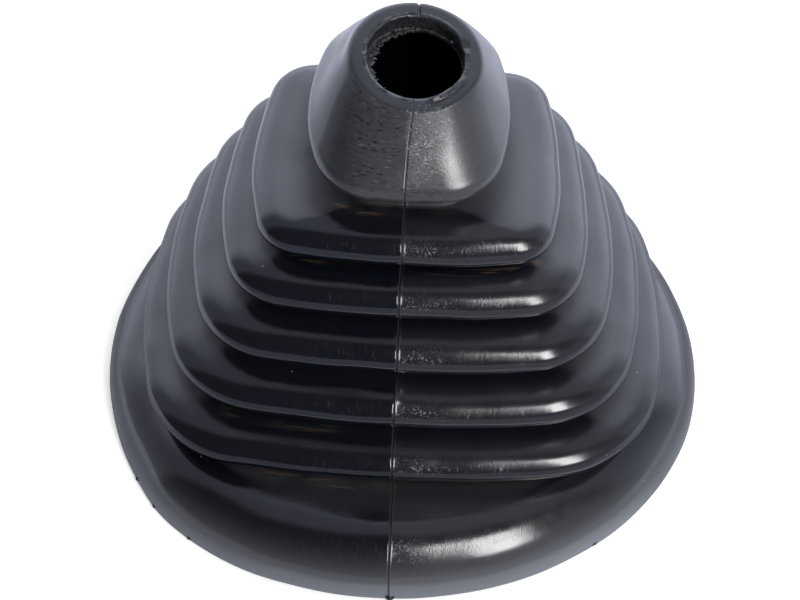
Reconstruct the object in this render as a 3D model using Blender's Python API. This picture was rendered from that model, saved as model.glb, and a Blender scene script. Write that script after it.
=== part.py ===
"""Gear shift boot: one moulded rubber bellows.

A bulging base, five stepped folds and a conical neck with a lever hole, all one skin of even wall.
Metres, +Z up. The origin is at the middle of the base, on the plane that it is seated on.
The part is a loft: a closed chain of rings, each a rounded rectangle at its own height, that runs
up the outside from the seat, over the collar, down the lever hole and back down the inside.
"""

import math
from typing import NamedTuple

import bpy

# Skin
WALL = 0.0025
CREST_RADIUS_INSIDE = 0.001
ROOT_RADIUS = 0.0012

# Base bulge and the seat that turns in under it
BASE_WIDTH = 0.150
BASE_DEPTH = 0.1396
BASE_CORNER_RADIUS = 0.052
BASE_SIDE_TURN = math.radians(36)
BASE_FRONT_TURN = math.radians(36)
BULGE_RADIUS = 0.013
BULGE_LIFT = 0.001
SEAT_WIDTH = 0.009
SEAT_THICKNESS = 0.0025

# Folds, numbered from the top
FOLD_COUNT = 5
TOP_FOLD_WIDTH = 0.0702
TOP_FOLD_DEPTH = 0.0611
TOP_FOLD_CORNER_RADIUS = 0.0104
FOLD_WIDTH_STEP = 0.01453
FOLD_DEPTH_STEP = 0.00975
FOLD_CORNER_STEP = 0.00466
FOLD_SIDE_TURN = math.radians(13)
FOLD_FRONT_TURN = math.radians(8.4)
GROOVE_DEPTH = 0.006
TREAD_RISE = 0.00735
TOP_RISER = 0.0004
RISER_STEP = 0.0008
BASE_TREAD_RISE = 0.0007
BASE_RISER = 0.0003

# Neck: a skirt, a cone and a round collar
SKIRT_WIDTH = 0.0456
SKIRT_DEPTH = 0.0520
SKIRT_CORNER_RADIUS = 0.0147
SKIRT_SIDE_TURN = math.radians(15)
SKIRT_FRONT_TURN = math.radians(5.3)
SKIRT_RADIUS_INSIDE = 0.0025
NECK_GROOVE_DEPTH = 0.005
NECK_RISER = 0.0025
NECK_HEIGHT = 0.0176
COLLAR_DIAMETER = 0.030
COLLAR_EDGE_RADIUS = 0.0006
LEVER_HOLE_DIAMETER = 0.0215
LEVER_HOLE_LENGTH = 0.005

# What is left of the torn web in the lever hole
WEB_REACH = 0.0018
WEB_MIDDLE = math.radians(170)
WEB_SPREAD = math.radians(80)

# Fineness of the loft
STEPS_A_QUARTER = 12
CORNER_CROWDING = math.radians(8)
CREST_STEPS = 5
CREST_STEPS_INSIDE = 2
ROOT_STEPS = 2
ROOT_STEPS_INSIDE = 3
BULGE_STEPS = 5
BULGE_STEPS_INSIDE = 4
SKIRT_STEPS = 5
SKIRT_STEPS_INSIDE = 3
COLLAR_EDGE_STEPS = 2
SHARP_EDGE = math.radians(40)

RUBBER_COLOUR = (0.012, 0.0123, 0.014, 1.0)
RUBBER_ROUGHNESS = 0.38


class Plan(NamedTuple):
    """A rounded rectangle seen from above, made of one arc a side and one arc a corner.

    The turns are the angles that half a side arc and half a front arc bend through.
    """

    half_width: float
    half_depth: float
    corner_radius: float
    side_turn: float
    front_turn: float


class Round(NamedTuple):
    """A round of the section, swept along a centre line that has the shape of a plan.

    The radius is that of the outer skin. It is negative in a groove, where the skin faces the centre line.
    """

    centre: Plan
    height: float
    radius: float
    steps: int
    steps_inside: int


def inset(plan, distance, least_corner=0.0):
    """A plan drawn parallel to this one, further in."""
    return plan._replace(
        half_width=plan.half_width - distance,
        half_depth=plan.half_depth - distance,
        corner_radius=max(plan.corner_radius - distance, least_corner),
    )


def plan_point(plan, turn):
    """The point in the first quarter of a plan where the outward normal has turned this far from +X."""
    side_end = plan.side_turn
    front_start = math.pi / 2 - plan.front_turn
    width = plan.half_width - plan.corner_radius
    depth = plan.half_depth - plan.corner_radius
    side_bow, front_run = 1 - math.cos(side_end), math.cos(front_start)
    side_run, front_bow = math.sin(side_end), 1 - math.sin(front_start)
    scale = side_bow * front_bow - side_run * front_run
    side_extra = (width * front_bow - depth * front_run) / scale
    front_extra = (depth * side_bow - width * side_run) / scale
    if turn < side_end:
        x, y, radius = width - side_extra, 0.0, plan.corner_radius + side_extra
    elif turn > front_start:
        x, y, radius = 0.0, depth - front_extra, plan.corner_radius + front_extra
    else:
        x, y, radius = front_extra * front_run, side_extra * side_run, plan.corner_radius
    return x + radius * math.cos(turn), y + radius * math.sin(turn)


def quarter_turns():
    """Directions over a quarter turn, closer together along the flat sides than round the corner."""
    shares = [step / STEPS_A_QUARTER for step in range(STEPS_A_QUARTER)]
    return [share * math.pi / 2 - CORNER_CROWDING * math.sin(2 * math.pi * share) for share in shares]


def web_share(angle):
    """How much of the torn web stands at this angle round the hole, from all of it to none."""
    away = abs(math.remainder(angle - WEB_MIDDLE, 2 * math.pi))
    return math.cos(away / WEB_SPREAD * math.pi / 2) if away < WEB_SPREAD else 0.0


def ring(plan, height, reach=0.0, web=0.0):
    """The points of a plan at one height, moved out along their normals by reach and in by the web."""
    points = []
    for quarter in range(4):
        for turn in quarter_turns():
            even = quarter % 2 == 0
            x, y = plan_point(plan, turn if even else math.pi / 2 - turn)
            x = x if quarter in (0, 3) else -x
            y = y if quarter in (0, 1) else -y
            angle = quarter * math.pi / 2 + turn
            out = reach - web * web_share(angle)
            points.append((x + out * math.cos(angle), y + out * math.sin(angle), height))
    return points


def between(ring_a, ring_b, share):
    return [
        tuple(a + (b - a) * share for a, b in zip(point_a, point_b))
        for point_a, point_b in zip(ring_a, ring_b)
    ]


def base_plan():
    return Plan(
        BASE_WIDTH / 2, BASE_DEPTH / 2, BASE_CORNER_RADIUS, BASE_SIDE_TURN, BASE_FRONT_TURN
    )


def fold_plan(index):
    return Plan(
        (TOP_FOLD_WIDTH + index * FOLD_WIDTH_STEP) / 2,
        (TOP_FOLD_DEPTH + index * FOLD_DEPTH_STEP) / 2,
        TOP_FOLD_CORNER_RADIUS + index * FOLD_CORNER_STEP,
        FOLD_SIDE_TURN,
        FOLD_FRONT_TURN,
    )


def skirt_plan():
    return Plan(
        SKIRT_WIDTH / 2, SKIRT_DEPTH / 2, SKIRT_CORNER_RADIUS, SKIRT_SIDE_TURN, SKIRT_FRONT_TURN
    )


def crest(plan, height, radius_inside, steps, steps_inside):
    """A round whose outermost line is the plan."""
    radius = radius_inside + WALL
    return Round(inset(plan, radius), height, radius, steps, steps_inside)


def groove(plan, depth, height):
    """The round at a groove's bottom, at this depth inside the plan of the crest above it."""
    centre = inset(plan, depth - ROOT_RADIUS, ROOT_RADIUS + WALL)
    return Round(centre, height, -ROOT_RADIUS, ROOT_STEPS, ROOT_STEPS_INSIDE)


def section():
    """The rounds of the section from the base up to the neck's skirt, crests and grooves in turn."""
    bulge = Round(
        inset(base_plan(), BULGE_RADIUS), BULGE_LIFT, BULGE_RADIUS, BULGE_STEPS, BULGE_STEPS_INSIDE
    )
    rounds = [bulge]
    height = BULGE_LIFT + BULGE_RADIUS + ROOT_RADIUS + BASE_TREAD_RISE
    for index in reversed(range(FOLD_COUNT)):
        lowest = index == FOLD_COUNT - 1
        riser = BASE_RISER if lowest else TOP_RISER + index * RISER_STEP
        rounds.append(groove(fold_plan(index), GROOVE_DEPTH, height))
        height += ROOT_RADIUS + CREST_RADIUS_INSIDE + WALL + riser
        rounds.append(
            crest(fold_plan(index), height, CREST_RADIUS_INSIDE, CREST_STEPS, CREST_STEPS_INSIDE)
        )
        height += TREAD_RISE
    rounds.append(groove(skirt_plan(), NECK_GROOVE_DEPTH, height))
    height += ROOT_RADIUS + SKIRT_RADIUS_INSIDE + WALL + NECK_RISER
    rounds.append(
        crest(skirt_plan(), height, SKIRT_RADIUS_INSIDE, SKIRT_STEPS, SKIRT_STEPS_INSIDE)
    )
    return rounds


def shared_normal(lower, upper):
    """How far the normal of the straight skin that joins two rounds is raised from the horizontal."""
    across = sum(upper.centre[:2]) / 2 - sum(lower.centre[:2]) / 2
    up = upper.height - lower.height
    turn = math.acos((lower.radius - upper.radius) / math.hypot(across, up))
    return math.atan2(up, across) - turn


def arc_rings(part, first, last, inside=False):
    """The rings along a round, from one normal to another, on the outer skin or on the inner one."""
    radius = part.radius - WALL if inside else part.radius
    steps = part.steps_inside if inside else part.steps
    rings = []
    for step in range(steps + 1):
        normal = first + (last - first) * step / steps
        rings.append(
            ring(part.centre, part.height + radius * math.sin(normal), radius * math.cos(normal))
        )
    return rings


def boot_rings():
    """All the rings in order, from the outer edge of the seat round to its inner edge."""
    rounds = section()
    bulge, skirt = rounds[0], rounds[-1]
    top = skirt.height + NECK_HEIGHT
    collar = Plan(
        COLLAR_DIAMETER / 2, COLLAR_DIAMETER / 2, COLLAR_DIAMETER / 2, SKIRT_SIDE_TURN, SKIRT_FRONT_TURN
    )
    edge = Round(
        inset(collar, COLLAR_EDGE_RADIUS), top - COLLAR_EDGE_RADIUS, COLLAR_EDGE_RADIUS, COLLAR_EDGE_STEPS, 1
    )
    normals = [shared_normal(lower, upper) for lower, upper in zip(rounds, rounds[1:] + [edge])]

    outside = [ring(base_plan(), 0.0)]
    for part, first, last in zip(rounds, [0.0] + normals, normals):
        outside += arc_rings(part, first, last)
    outside += arc_rings(edge, normals[-1], math.pi / 2)

    hole = inset(collar, (COLLAR_DIAMETER - LEVER_HOLE_DIAMETER) / 2)
    hole_end = top - LEVER_HOLE_LENGTH
    lever_hole = [
        ring(hole, top),
        ring(hole, (top + hole_end) / 2, 0.0, WEB_REACH / 2),
        ring(hole, hole_end, 0.0, WEB_REACH),
    ]

    seat_normal = math.asin((SEAT_THICKNESS - BULGE_LIFT) / (BULGE_RADIUS - WALL))
    inside = []
    for part, first, last in zip(rounds, [seat_normal] + normals, normals):
        inside += arc_rings(part, first, last, inside=True)
    cone_top = arc_rings(edge, normals[-1], normals[-1], inside=True)[0]
    cone_foot = inside[-1]
    share = (hole_end - cone_foot[0][2]) / (cone_top[0][2] - cone_foot[0][2])
    inside.append(between(cone_foot, cone_top, share))
    inside.reverse()

    seat_edge = inset(base_plan(), SEAT_WIDTH)
    seat = [ring(seat_edge, SEAT_THICKNESS), ring(seat_edge, 0.0)]
    return outside + lever_hole + inside + seat


def rubber():
    """Black moulded rubber with a dull shine."""
    material = bpy.data.materials.new("moulded_rubber")
    material.use_nodes = True
    shader = material.node_tree.nodes["Principled BSDF"]
    shader.inputs["Base Color"].default_value = RUBBER_COLOUR
    shader.inputs["Roughness"].default_value = RUBBER_ROUGHNESS
    shader.inputs["Metallic"].default_value = 0.0
    material.diffuse_color = RUBBER_COLOUR
    return material


def loft(name, rings):
    """A closed skin through a chain of rings that ends where it began."""
    count = len(rings[0])
    points = [point for one in rings for point in one]
    faces = []
    for row in range(len(rings)):
        above = (row + 1) % len(rings)
        for column in range(count):
            beside = (column + 1) % count
            faces.append(
                (
                    row * count + column,
                    row * count + beside,
                    above * count + beside,
                    above * count + column,
                )
            )
    mesh = bpy.data.meshes.new(name)
    mesh.from_pydata(points, [], faces)
    mesh.shade_smooth()
    mesh.set_sharp_from_angle(angle=SHARP_EDGE)
    return bpy.data.objects.new(name, mesh)


def clear_scene():
    for old in list(bpy.data.objects):
        bpy.data.objects.remove(old, do_unlink=True)


def main():
    clear_scene()
    collection = bpy.data.collections.new("gear_shift_boot")
    bpy.context.scene.collection.children.link(collection)
    boot = loft("boot", boot_rings())
    boot.data.materials.append(rubber())
    collection.objects.link(boot)


main()
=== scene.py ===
"""The looks of a gear shift boot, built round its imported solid.

The boot is one rubber moulding: a bulging base, stepped folds, and a conical neck with a lever hole. The skin
carries the mould's parting line, the scuffs and the stains. A torn web hangs in the hole, and nibs of flash
stand on the lower edge. It stands on a pale floor beside one soft lamp.
"""

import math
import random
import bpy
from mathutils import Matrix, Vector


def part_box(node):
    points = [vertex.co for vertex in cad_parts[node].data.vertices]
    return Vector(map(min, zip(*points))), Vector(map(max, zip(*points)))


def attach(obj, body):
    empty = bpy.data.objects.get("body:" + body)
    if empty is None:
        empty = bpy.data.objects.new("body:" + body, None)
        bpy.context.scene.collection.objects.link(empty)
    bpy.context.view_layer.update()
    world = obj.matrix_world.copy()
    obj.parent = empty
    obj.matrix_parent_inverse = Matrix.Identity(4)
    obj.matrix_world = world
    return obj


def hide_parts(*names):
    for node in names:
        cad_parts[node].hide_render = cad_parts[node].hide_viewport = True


bl_info = {
    "name": "Gear Shift Boot",
    "version": (1, 0, 0),
    "blender": (4, 5, 0),
    "location": "3D View > Sidebar > Boot",
    "description": "Models a worn rubber gear shift boot and the stage that it stands on",
    "category": "Object",
}

from typing import NamedTuple

import bmesh
import bpy
import numpy as np
from mathutils import Matrix, Vector, noise

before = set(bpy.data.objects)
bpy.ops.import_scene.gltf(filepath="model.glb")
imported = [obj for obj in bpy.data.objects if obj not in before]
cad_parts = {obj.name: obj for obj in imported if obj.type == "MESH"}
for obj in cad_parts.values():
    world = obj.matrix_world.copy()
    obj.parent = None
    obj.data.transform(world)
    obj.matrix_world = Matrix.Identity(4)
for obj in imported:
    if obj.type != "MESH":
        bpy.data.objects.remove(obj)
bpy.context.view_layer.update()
BOOT_LOW, BOOT_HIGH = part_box("boot")
MM = 0.001


def linear(hex_colour):
    """An sRGB hex colour as the linear values that a shader takes."""
    parts = [int(hex_colour[i : i + 2], 16) / 255 for i in (0, 2, 4)]
    return tuple(p / 12.92 if p <= 0.04045 else ((p + 0.055) / 1.055) ** 2.4 for p in parts)


def length(name, description, default):
    return bpy.props.FloatProperty(
        name=name, description=description, default=default, unit="LENGTH", precision=5
    )


def angle(name, description, degrees):
    return bpy.props.FloatProperty(
        name=name, description=description, default=math.radians(degrees), unit="ROTATION"
    )


def share(name, description, default):
    return bpy.props.FloatProperty(
        name=name, description=description, default=default, min=0.0, max=1.0, subtype="FACTOR"
    )


def number(name, description, default, unit="NONE"):
    return bpy.props.FloatProperty(name=name, description=description, default=default, unit=unit)


def colour(name, description, hex_colour):
    return bpy.props.FloatVectorProperty(
        name=name, description=description, default=linear(hex_colour), size=3, min=0, max=1, subtype="COLOR"
    )


class BootBaseSizes(bpy.types.PropertyGroup):
    """The bulging base and the seat that turns in under it."""

    width: length("Width", "Base across, side to side", BOOT_HIGH.x - BOOT_LOW.x)
    depth: length("Depth", "Base across, front to back", BOOT_HIGH.y - BOOT_LOW.y)
    corner_radius: length("Corner radius", "Radius of the base's corners seen from above", 0.052)
    side_turn: angle("Side turn", "Half the bend of each side seen from above", 36)
    front_turn: angle("Front turn", "Half the bend of the front seen from above", 36)
    bulge_radius: length("Bulge radius", "Radius of the bulge", 0.013)
    bulge_lift: length("Bulge lift", "Height of the bulge's centre", 0.001)
    seat_width: length("Seat width", "Width of the flange under the base", 0.009)
    seat_thickness: length("Seat thickness", "Thickness of that flange", 0.0025)
    edge_radius: length("Edge radius", "Round on the lower edge", 0.0004)
    skew: share("Skew", "How much of its lopsided wear the base shows", 1.0)


class BootFoldSizes(bpy.types.PropertyGroup):
    """The stepped folds, numbered from the top."""

    count: bpy.props.IntProperty(name="Count", description="Number of folds", default=5, min=1)
    wall: length("Wall", "Thickness of the skin", 0.0025)
    crest_radius: length("Crest radius", "Inner radius of each crest", 0.001)
    shoulder_radius: length("Shoulder radius", "Extra radius above each crest", 0.0035)
    shoulder_turn: angle("Shoulder turn", "Slope at which that wider radius starts", 45)
    root_radius: length("Root radius", "Outer radius of each groove's bottom", 0.0012)
    top_width: length("Top width", "Top fold across, side to side", 0.0702)
    top_depth: length("Top depth", "Top fold across, front to back", 0.0611)
    top_corner_radius: length("Top corner radius", "Corner radius of the top fold", 0.0104)
    width_step: length("Width step", "How much wider each fold is than the one above", 0.01453)
    depth_step: length("Depth step", "How much deeper each fold is than the one above", 0.00975)
    corner_step: length("Corner step", "How much the corner radius grows from fold to fold", 0.00466)
    side_turn: angle("Side turn", "Half the bend of each side seen from above", 13)
    front_turn: angle("Front turn", "Half the bend of each front seen from above", 8.4)
    groove_depth: length("Groove depth", "Depth of the groove under each fold", 0.006)
    tread_rise: length("Tread rise", "Rise of the slope above each crest", 0.00735)
    top_riser: length("Top riser", "Extra height under the top fold", 0.0004)
    riser_step: length("Riser step", "How much that height grows from fold to fold", 0.0008)
    base_tread_rise: length("Base tread rise", "Rise of the slope above the base's bulge", 0.0007)
    base_riser: length("Base riser", "Extra height under the lowest fold", 0.0003)


class BootNeckSizes(bpy.types.PropertyGroup):
    """The skirt, cone and collar round the lever hole."""

    skirt_width: length("Skirt width", "Skirt across, side to side", 0.0456)
    skirt_depth: length("Skirt depth", "Skirt across, front to back", 0.0520)
    skirt_corner_radius: length("Skirt corner radius", "Corner radius of the skirt", 0.0147)
    skirt_side_turn: angle("Skirt side turn", "Half the bend of each side seen from above", 15)
    skirt_front_turn: angle("Skirt front turn", "Half the bend of the front seen from above", 5.3)
    skirt_radius: length("Skirt radius", "Inner radius of the skirt's edge", 0.0025)
    groove_depth: length("Groove depth", "Depth of the groove under the skirt", 0.0066)
    riser: length("Riser", "Extra height under the skirt", 0.0025)
    height: length("Height", "Height of the collar above the skirt's edge", 0.0176)
    collar_width: length("Collar width", "Collar across", 0.030)
    collar_edge: length("Collar edge", "Round on the collar's edge", 0.0012)
    hole_width: length("Hole width", "Lever hole across", 0.0215)
    hole_length: length("Hole length", "Length of the hole's wall", 0.005)
    lean: length("Lean", "How far the collar leans to the right", 0.0012)
    slump: length("Slump", "How far the collar has come forward", 0.0007)
    tilt: angle("Tilt", "How far the collar dips on the right", 2.6)
    pitch: angle("Pitch", "How far the collar dips at the front", 12.0)


class BootWearSizes(bpy.types.PropertyGroup):
    """The parting line, the torn web, and the wear."""

    seam_ridge: length("Seam ridge", "Height of the flash along the parting line", 0.00019)
    seam_offset: length("Seam offset", "How far the parting line lies left of the middle", 0.00045)
    web_reach: length("Web reach", "How far the torn web stands into the hole", 0.0027)
    web_middle: angle("Web middle", "Direction of the torn web's middle", 172)
    web_spread: angle("Web spread", "How far the torn web runs to each side of its middle", 88)
    web_lift: length("Web lift", "Height of the web's top above the end of the hole", 0.0007)
    sliver_thickness: length("Sliver thickness", "Thickness of the web's torn slivers", 0.00045)
    nib_thickness: length("Nib thickness", "Thickness of the flash on the lower edge", 0.0006)
    slot: length("Slot", "Depth of the slot across the collar's back", 0.00055)
    bite: length("Bite", "Depth of the bite out of the hole's edge", 0.0005)
    lip: length("Lip", "Height of the lip on the hole's edge", 0.00045)
    ripple: length("Ripple", "Unevenness of the hole's edge", 0.00028)
    dent: length("Dent", "Depth of the dent in the neck", 0.0015)
    dent_middle: angle("Dent middle", "Direction of that dent from the right", 150)
    wobble: length("Wobble", "Unevenness of the soft skin", 0.00032)


class BootFinish(bpy.types.PropertyGroup):
    """The colours and the shine of the rubber."""

    rubber: colour("Rubber", "Black rubber", "090c14")
    haze: colour("Haze", "Rubber that has greyed", "1d1e22")
    handled: colour("Handled rubber", "Rubber of the neck, greyed by handling", "3c3e42")
    # this pale also paints the glints on the crests and the neck, and the floor's reflection on the base's
    # lower edge
    bloom_and_glints: colour("Bloom", "Wax that has come to the surface, and dry scuffs", "8c9096")
    tan_dirt: colour("Tan dirt", "Dried mud in the grooves", "5e4a33")
    olive_dirt: colour("Olive dirt", "Thin film of dirt in the grooves", "22201a")
    gloss_roughness: share("Gloss roughness", "Roughness of the clean rubber", 0.15)
    haze_roughness: share("Haze roughness", "Roughness of the greyed rubber", 0.19)


class BootStageSizes(bpy.types.PropertyGroup):
    """The camera, the lamp, the room light and the floor."""

    camera_distance: length("Camera distance", "Distance from the aim", 0.5603)
    camera_elevation: angle("Camera elevation", "Height of the camera above the floor", 50.12)
    camera_turn: angle("Camera turn", "Turn of the camera round the boot", 0.65)
    camera_roll: angle("Camera roll", "Roll of the camera", 1.7)
    camera_lens: number("Lens", "Focal length in millimetres", 96.03, unit="CAMERA")
    aim: bpy.props.FloatVectorProperty(
        name="Aim",
        description="Point that the camera looks at",
        size=3,
        default=(-0.00094, 0.02139, 0.0),
        unit="LENGTH",
    )
    lamp_distance: length("Lamp distance", "Distance of the soft lamp", 1.1)
    lamp_turn: angle("Lamp turn", "Turn of the lamp to the right of the front", 34)
    lamp_elevation: angle("Lamp elevation", "Height of the lamp above the floor", 40)
    lamp_width: length("Lamp width", "Width of the soft lamp", 0.30)
    lamp_height: length("Lamp height", "Height of the soft lamp's face", 0.70)
    lamp_power: number("Lamp power", "Power in watts", 9.5)
    room_light: number("Room light", "Light from all round", 0.11)
    upper_light: number("Upper light", "Light added overhead and behind the boot", 0.50)
    behind_light: number("Light behind", "Light added low behind the boot", 1.9)
    right_light: number("Light at right", "Light added on the right", 0.33)
    left_share: share("Left share", "How much of the light behind is left on the left", 0.78)
    floor_width: length("Floor width", "Width of the floor", 6.0)
    floor: colour("Floor", "White floor", "f4f4f4")
    floor_glow: number("Floor glow", "Light of its own that keeps the floor white to the camera", 0.34)
    mirrored_floor: share("Mirrored floor", "How bright the floor is where the rubber mirrors it", 0.48)
    front_glow: number("Front glow", "Mirrored light of the floor at the front of the boot", 1.0)
    side_glow: number("Side glow", "Mirrored light of the floor further out at the sides", 0.85)
    window: colour("Window", "Cool light that the rubber mirrors", "e2e6fb")


# direction from the right in degrees, distance from the hole's middle, length and width in mm, and rise
TORN_SLIVERS = (
    (147, 9.6, 1.6, 1.3, 0.5),
    (119, 10.7, 1.4, 1.1, 0.7),
    (96, 11.2, 1.3, 1.0, 0.8),
    (168, 9.4, 1.2, 1.2, 0.3),
    (-155, 9.3, 1.3, 1.0, 0.5),
    (-138, 8.8, 1.5, 1.0, 0.2),
    (39, 10.9, 1.5, 1.4, 1.2),
)
# direction in degrees, and length and width in mm
EDGE_NIBS = ((-148, 0.35, 3.4), (-141, 0.30, 2.6), (-131, 0.35, 2.4), (-48, 0.30, 2.6), (-90.4, 0.5, 2.2))
# how deep slivers and nibs are rooted in the skin
SLIVER_ROOT, NIB_ROOT = 0.3 * MM, 0.5 * MM
# how a sliver or nib tapers from its root to its tip
FLAKE_TAPER = (1.0, 0.8, 0.45, 0.1)
# direction in degrees, and how far the worn base stands out there in mm
BASE_WEAR = (
    (-165, -0.9), (-150, -0.3), (-137, 1.3), (-122, 1.7), (-104, 1.0), (-90, 0.5), (-75, 0.0),
    (-63, -0.4), (-50, -1.2), (-38, -1.6), (-26, -0.8), (-12, 0.0), (4, 0.0), (20, -0.5),
    (45, -1.5), (65, -1.0), (90, -0.2), (115, -0.9), (140, -2.2), (160, -1.7), (178, -1.1),
)
# how far each of those places reaches to its sides, in degrees
BASE_WEAR_SPREAD = 9
# how far below the skirt's edge the neck starts to bend
BEND_START = 9 * MM
SKIN_SEED, SLIVER_SEED, NIB_SEED = 3, 5, 8


class Plan(NamedTuple):
    """A rounded rectangle seen from above, made of one arc a side and one arc a corner."""

    half_width: float
    half_depth: float
    corner_radius: float
    side_turn: float
    front_turn: float


class Round(NamedTuple):
    """A round of the section, swept along a centre line. A groove's radius is negative."""

    centre: Plan
    height: float
    radius: float
    level: int


class Row(NamedTuple):
    """One ring of the skin: its points, and where on the boot it lies.

    level is 0 at the top fold and grows downwards. tread runs from 1 on a crest to 0 in the groove above it.
    """

    points: np.ndarray
    level: float
    tread: float
    outside: bool


QUARTER_STEPS = 72
CORNER_CROWDING = math.radians(11)
# places of the closely set columns of the parting line in mm, the two that hold its gap, and how many plain
# columns on each side make room for them
SEAM_LINES = (-0.60, -0.36, -0.20, -0.06, 0.08, 0.22, 0.40, 0.60)
SEAM_GAP = (-0.20, -0.06)
SEAM_PATCH = 24
# place, half its width and height of the gap and of the flash beside it, in mm and in shares of the ridge
SEAM_FORM = ((-0.13, 0.12, -1.4), (0.20, 0.15, 0.7))
# where the mould bled on the parting line: from and to height and height of the lump, in mm
SEAM_LUMPS = ((39.5, 43.5, 0.9), (30.0, 32.0, 0.35), (86.0, 88.5, 0.3), (0.0, 2.2, 0.6))
# rows on each kind of round, outside and inside, and on the straight stretches of the neck
ARC_STEPS = {"bulge": 16, "crest": 9, "root": 5, "skirt": 14, "edge": 5}
INNER_STEPS = {"bulge": 5, "crest": 3, "root": 4, "skirt": 5, "edge": 1}
NECK_STEPS = {"cone": 16, "face": 6, "bore": 6, "inside": 5}
TREAD_STEP = 1.3 * MM
BRIM_ROUND = 0.25 * MM
# waves of the torn web's crinkle in a metre
WEB_CRINKLE = 900
# the torn web's section: share of its reach, and lift in mm
WEB_SECTION = ((0.35, 0.15), (0.7, 0.1), (0.92, 0.0), (1.0, -0.3), (0.85, -0.6), (0.4, -0.75))
# level, place on the slope, half its width, from x, to x in mm, amount, whether it is mud
STAINS = (
    (0, 0.20, 0.28, -19, -2, 0.9, False),
    (0, 0.28, 0.10, -15, -8, 0.9, True),
    (0, 0.15, 0.22, 8, 20, 0.8, False),
    (1, 0.30, 0.18, -36, -29, 0.8, False),
    (1, 0.15, 0.15, -24, -20, 0.8, True),
    (1, 0.15, 0.15, -18, -12, 0.7, False),
    (1, 0.33, 0.05, 9, 38, 0.8, True),
    (1, 0.15, 0.25, 30, 42, 0.9, False),
    (4, 0.25, 0.10, -38, -18, 0.8, True),
    (4, 0.20, 0.25, -40, -16, 0.6, False),
    (5, 0.15, 0.07, -45, -34, 0.8, True),
    (5, 0.22, 0.06, -29, -18, 0.7, True),
    (5, 0.30, 0.05, -16, -7, 0.7, True),
    (5, 0.20, 0.20, -34, 0, 0.6, False),
)
# stretch along x, y and z, size of the grain in mm, detail and roughness of each pattern in the rubber
PATTERNS = {
    "mottle": ((1.0, 1.0, 1.0), 7.0, 4.0, 0.55),
    "patches": ((1.0, 1.0, 1.0), 2.2, 4.0, 0.65),
    "grain": ((1.0, 1.0, 1.0), 0.45, 2.0, 0.55),
    # dry scuffs, and the glints painted among them, are finer than this: they are drawn 0.5 mm wide, as
    # coarse as it takes to show
    "flecks": ((1.0, 1.0, 1.0), 0.5, 3.0, 0.6),
    "streaks": ((1.0, 0.22, 0.22), 0.42, 4.0, 0.6),
    # the mould's own tool marks run level, about 0.5 mm apart
    "levels": ((0.06, 0.06, 1.0), 0.5, 3.0, 0.6),
    # handling leaves level dashes on the neck and rubs the cone's upper right pale, where a glint is painted
    # too
    "dashes": ((0.35, 0.35, 1.6), 0.55, 3.0, 0.6),
    "rubbing": ((0.55, 0.55, 1.5), 0.40, 4.0, 0.65),
    # dried mud lies in level lines about 0.5 mm wide, where water last stood
    "tide": ((0.06, 0.4, 2.6), 1.0, 3.0, 0.6),
}


def smooth_step(low, high, values):
    part = np.clip((values - low) / (high - low), 0.0, 1.0)
    return part * part * (3 - 2 * part)


def window(values, start, full, still_full, end):
    """Rises from 0 at start to 1 at full, and falls again from still_full to end."""
    return smooth_step(start, full, values) * smooth_step(end, still_full, values)


def bell(values, middle, half_width):
    return np.exp(-(((values - middle) / half_width) ** 2))


def degrees_apart(turn, place):
    return (turn - place + 180) % 360 - 180


def compass(degrees):
    """The outward direction at an angle from the right, and the one across it."""
    turn = math.radians(degrees)
    return Vector((math.cos(turn), math.sin(turn), 0.0)), Vector((-math.sin(turn), math.cos(turn), 0.0))


def ragged_line(turns, coarse_seed, fine_seed, fine_share):
    """Uneven heights round the hole, one for each angle in radians: coarse waves with finer ones on them."""
    heights = []
    for turn in turns:
        x, y = math.cos(turn), math.sin(turn)
        coarse = noise.noise(Vector((x * 6, y * 6, coarse_seed)))
        fine = noise.noise(Vector((x * 15, y * 15, fine_seed)))
        heights.append(coarse + fine_share * fine)
    return np.array(heights)


def inset(plan, distance, least_corner=0.0):
    """A plan drawn parallel to this one, further in."""
    return plan._replace(
        half_width=plan.half_width - distance,
        half_depth=plan.half_depth - distance,
        corner_radius=max(plan.corner_radius - distance, least_corner),
    )


def plan_points(plan, normals):
    """The points of a plan where its outward normal has these directions, measured from +X."""
    turn = np.arctan2(np.abs(np.sin(normals)), np.abs(np.cos(normals)))
    side_end = plan.side_turn
    front_start = math.pi / 2 - plan.front_turn
    width = plan.half_width - plan.corner_radius
    depth = plan.half_depth - plan.corner_radius
    side_bow, front_run = 1 - math.cos(side_end), math.cos(front_start)
    side_run, front_bow = math.sin(side_end), 1 - math.sin(front_start)
    scale = side_bow * front_bow - side_run * front_run
    side_extra = (width * front_bow - depth * front_run) / scale
    front_extra = (depth * side_bow - width * side_run) / scale
    on_side, on_front = turn < side_end, turn > front_start
    centre_x = np.where(on_side, width - side_extra, np.where(on_front, 0.0, front_extra * front_run))
    centre_y = np.where(on_side, 0.0, np.where(on_front, depth - front_extra, side_extra * side_run))
    radius = plan.corner_radius + np.where(on_side, side_extra, np.where(on_front, front_extra, 0.0))
    x = centre_x + radius * np.cos(turn)
    y = centre_y + radius * np.sin(turn)
    return x * np.sign(np.cos(normals)), y * np.sign(np.sin(normals))


def column_normals():
    """Directions all round, starting at the front, closer together along the flat sides."""
    shares = np.arange(QUARTER_STEPS) / QUARTER_STEPS
    turns = shares * math.pi / 2 - CORNER_CROWDING * np.sin(2 * math.pi * shares)
    return np.concatenate([quarter * math.pi / 2 + turns for quarter in (-1, 0, 1, 2)])


NORMALS = column_normals()


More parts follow.
